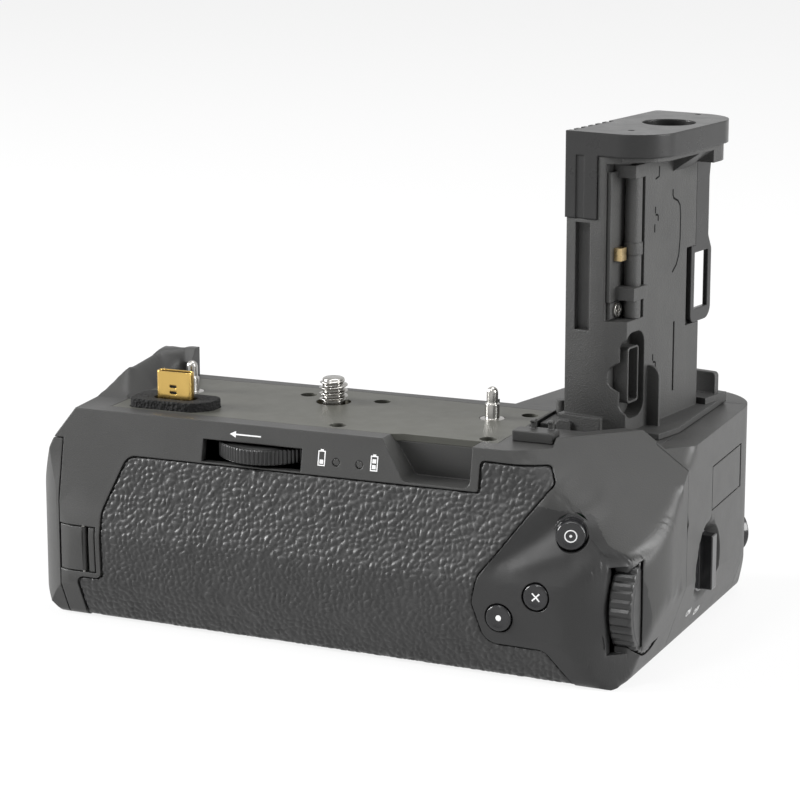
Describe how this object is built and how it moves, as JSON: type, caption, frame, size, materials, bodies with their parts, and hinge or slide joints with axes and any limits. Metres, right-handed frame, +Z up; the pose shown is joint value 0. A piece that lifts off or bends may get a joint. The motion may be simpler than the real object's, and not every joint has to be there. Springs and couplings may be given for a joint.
{
  "type": "camera battery grip",
  "caption": "Battery grip that screws under a camera: a long hollow casing with a tall insert tower, a camera screw, a lock wheel, a battery magazine and hand controls.",
  "frame": {"origin": "where the axis of the camera screw meets the top face", "axes": "+X along the grip towards the hand end, +Y towards the lens side, +Z up into the camera"},
  "size_m": [0.1468, 0.0933, 0.1111],
  "materials": {
    "shell": "fine matt",
    "plate": "satin paint",
    "screw_black": "blackened",
    "steel": "polished",
    "brass": "turned",
    "gold": "plated",
    "rubber_black": "grained",
    "foam": "foam",
    "resin": "moulded",
    "gloss": "glossy",
    "tower": "satin",
    "board": "laminate",
    "lamp": "clear"
  },
  "bodies": {
    "grip_body": {"rear_shell": "shell", "front_shell": "shell", "hand_end_cover": "shell", "base_plate": "shell", "base_screws": "screw_black", "tripod_socket": "steel", "top_plate": "plate", "top_screws": "screw_black", "locating_pins": "steel", "screw_bush": "brass", "gear_axles": "steel", "drive_deck": "resin", "signal_plug": "gold", "plug_tongue": "shell", "plug_contacts": "gold", "plug_gasket": "foam", "charge_lamps": "lamp", "lamp_board": "board", "rear_rubber": "rubber_black", "front_rubber": "rubber_black", "flap_edge": "rubber_black", "bay_bulkhead": "resin", "bay_contacts": "gold", "main_board": "board", "button_domes": "steel", "control_boards": "board", "charge_port": "steel", "tower_frame": "tower", "tower_cap": "gloss", "tower_contacts": "gold", "tower_board": "board", "hinge_plate": "tower", "hinge_post": "tower", "spring_tab": "steel", "screw_bracket": "tower", "bracket_screw": "steel", "contact_cover_holder": "tower", "clip_block": "tower", "hinge_pins": "steel", "dial_axles": "steel"},
    "lock_wheel": {"lock_wheel": "rubber_black"},
    "idler_gear": {"idler_gear": "resin"},
    "camera_screw": {"camera_screw": "steel"},
    "focus_button": {"focus_button": "gloss"},
    "lock_button": {"lock_button": "gloss"},
    "point_button": {"point_button": "gloss"},
    "rear_dial": {"rear_dial": "gloss"},
    "front_dial": {"front_dial": "gloss"},
    "power_switch": {"power_switch": "gloss"},
    "shutter_button": {"shutter_button": "gloss"},
    "function_button": {"function_button": "gloss"},
    "magazine": {"magazine_door": "shell", "magazine_tray": "resin", "magazine_contacts": "gold"},
    "release_knob": {"release_knob": "gloss"},
    "cord_flap": {"cord_flap": "rubber_black"},
    "port_cover": {"port_cover": "shell"}
  },
  "joints": [
    {"name": "lock_wheel_turn", "type": "hinge", "parent": "grip_body", "child": "lock_wheel", "pos_m": [-0.006, -0.02065, -0.0063], "axis": [0, 0, 1], "continuous": true},
    {"name": "idler_turn", "type": "hinge", "parent": "grip_body", "child": "idler_gear", "pos_m": [-0.00307, -0.01056, -0.0092], "axis": [0, 0, 1], "continuous": true},
    {"name": "camera_screw_turn", "type": "hinge", "parent": "grip_body", "child": "camera_screw", "pos_m": [0, 0, 0], "axis": [0, 0, 1], "continuous": true},
    {"name": "focus_button_press", "type": "slide", "parent": "grip_body", "child": "focus_button", "axis": [-0.2756, 0.9613, 0], "range_m": [0, 0.0008], "stiffness_N_per_m": 900, "springref_m": -0.0009},
    {"name": "lock_button_press", "type": "slide", "parent": "grip_body", "child": "lock_button", "axis": [0, 1, 0], "range_m": [0, 0.0008], "stiffness_N_per_m": 900, "springref_m": -0.0009},
    {"name": "point_button_press", "type": "slide", "parent": "grip_body", "child": "point_button", "axis": [0, 1, 0], "range_m": [0, 0.0008], "stiffness_N_per_m": 900, "springref_m": -0.0009},
    {"name": "shutter_button_press", "type": "slide", "parent": "grip_body", "child": "shutter_button", "axis": [-0.6428, -0.766, 0], "range_m": [0, 0.001], "stiffness_N_per_m": 900, "springref_m": -0.0009},
    {"name": "function_button_press", "type": "slide", "parent": "grip_body", "child": "function_button", "axis": [-0.6428, -0.766, 0], "range_m": [0, 0.0008], "stiffness_N_per_m": 900, "springref_m": -0.0009},
    {"name": "rear_dial_turn", "type": "hinge", "parent": "grip_body", "child": "rear_dial", "pos_m": [0.079, -0.0222, -0.0307], "axis": [1, 0, 0], "continuous": true},
    {"name": "front_dial_turn", "type": "hinge", "parent": "grip_body", "child": "front_dial", "pos_m": [0.063, 0.0485, -0.026], "axis": [0, 0, 1], "continuous": true},
    {"name": "power_switch_turn", "type": "hinge", "parent": "grip_body", "child": "power_switch", "pos_m": [0.081, 0.012, -0.0306], "axis": [1, 0, 0], "range_deg": [0, 50]},
    {"name": "magazine_slide", "type": "slide", "parent": "grip_body", "child": "magazine", "axis": [-1, 0, 0], "range_m": [0, 0.1]},
    {"name": "release_knob_turn", "type": "hinge", "parent": "magazine", "child": "release_knob", "pos_m": [-0.0615, -0.008, -0.028], "axis": [1, 0, 0], "range_deg": [-90, 0]},
    {"name": "cord_flap_swing", "type": "hinge", "parent": "grip_body", "child": "cord_flap", "pos_m": [-0.046, -0.03237, -0.0306], "axis": [0, 0, 1], "range_deg": [0, 100]},
    {"name": "port_cover_swing", "type": "hinge", "parent": "grip_body", "child": "port_cover", "pos_m": [0.08281, 0.03565, -0.0146], "axis": [0, 0, 1], "range_deg": [0, 90]}
  ],
  "couplings": [
    {"joint": "idler_turn", "follows": "lock_wheel_turn", "ratio": -1.1},
    {"joint": "camera_screw_turn", "follows": "lock_wheel_turn", "ratio": 0.91667}
  ]
}
